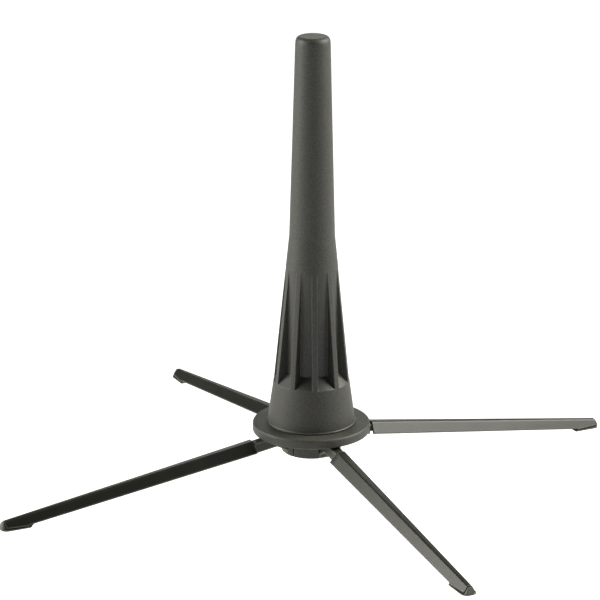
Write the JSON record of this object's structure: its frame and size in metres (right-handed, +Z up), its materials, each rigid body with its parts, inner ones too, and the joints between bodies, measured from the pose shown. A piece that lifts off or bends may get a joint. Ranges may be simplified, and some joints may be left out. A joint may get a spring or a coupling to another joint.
{
  "type": "trumpet stand",
  "caption": "Folding floor stand for a trumpet: hollow tapered peg on a round hub with folding channel legs and padded feet.",
  "frame": {"origin": "on the floor, under the middle of the hub", "axes": "+Z up along the peg; the legs lie along +X, +Y, -X and -Y"},
  "size_m": [0.4146, 0.4146, 0.2819],
  "materials": {
    "peg_plastic": "fine-grained matt black",
    "hub_plastic": "fine-grained matt black",
    "leg_paint": "satin black powder coat",
    "arm_metal": "satin black powder coat",
    "pin_steel": "plain steel",
    "foot_rubber": "smooth dark rubber"
  },
  "bodies": {
    "base": {"base_hub": "hub_plastic"},
    "peg": {"peg": "peg_plastic"},
    "leg_1": {"leg_channel_1": "leg_paint", "hinge_arm_1": "arm_metal", "hinge_pin_1": "pin_steel", "foot_pad_1": "foot_rubber"},
    "leg_2": {"leg_channel_2": "leg_paint", "hinge_arm_2": "arm_metal", "hinge_pin_2": "pin_steel", "foot_pad_2": "foot_rubber"},
    "leg_3": {"leg_channel_3": "leg_paint", "hinge_arm_3": "arm_metal", "hinge_pin_3": "pin_steel", "foot_pad_3": "foot_rubber"},
    "leg_4": {"leg_channel_4": "leg_paint", "hinge_arm_4": "arm_metal", "hinge_pin_4": "pin_steel", "foot_pad_4": "foot_rubber"}
  },
  "joints": [
    {"name": "peg_lift", "type": "slide", "parent": "base", "child": "peg", "axis": [0, 0, 1], "range_m": [0, 0.014]},
    {"name": "leg_1_fold", "type": "hinge", "parent": "base", "child": "leg_1", "pos_m": [0.0115, 0, 0.0244], "axis": [0, 1, 0], "range_deg": [0, 81]},
    {"name": "leg_2_fold", "type": "hinge", "parent": "base", "child": "leg_2", "pos_m": [0, 0.0115, 0.0244], "axis": [-1, 0, 0], "range_deg": [0, 81]},
    {"name": "leg_3_fold", "type": "hinge", "parent": "base", "child": "leg_3", "pos_m": [-0.0115, 0, 0.0244], "axis": [0, -1, 0], "range_deg": [0, 81]},
    {"name": "leg_4_fold", "type": "hinge", "parent": "base", "child": "leg_4", "pos_m": [0, -0.0115, 0.0244], "axis": [1, 0, 0], "range_deg": [0, 81]}
  ]
}
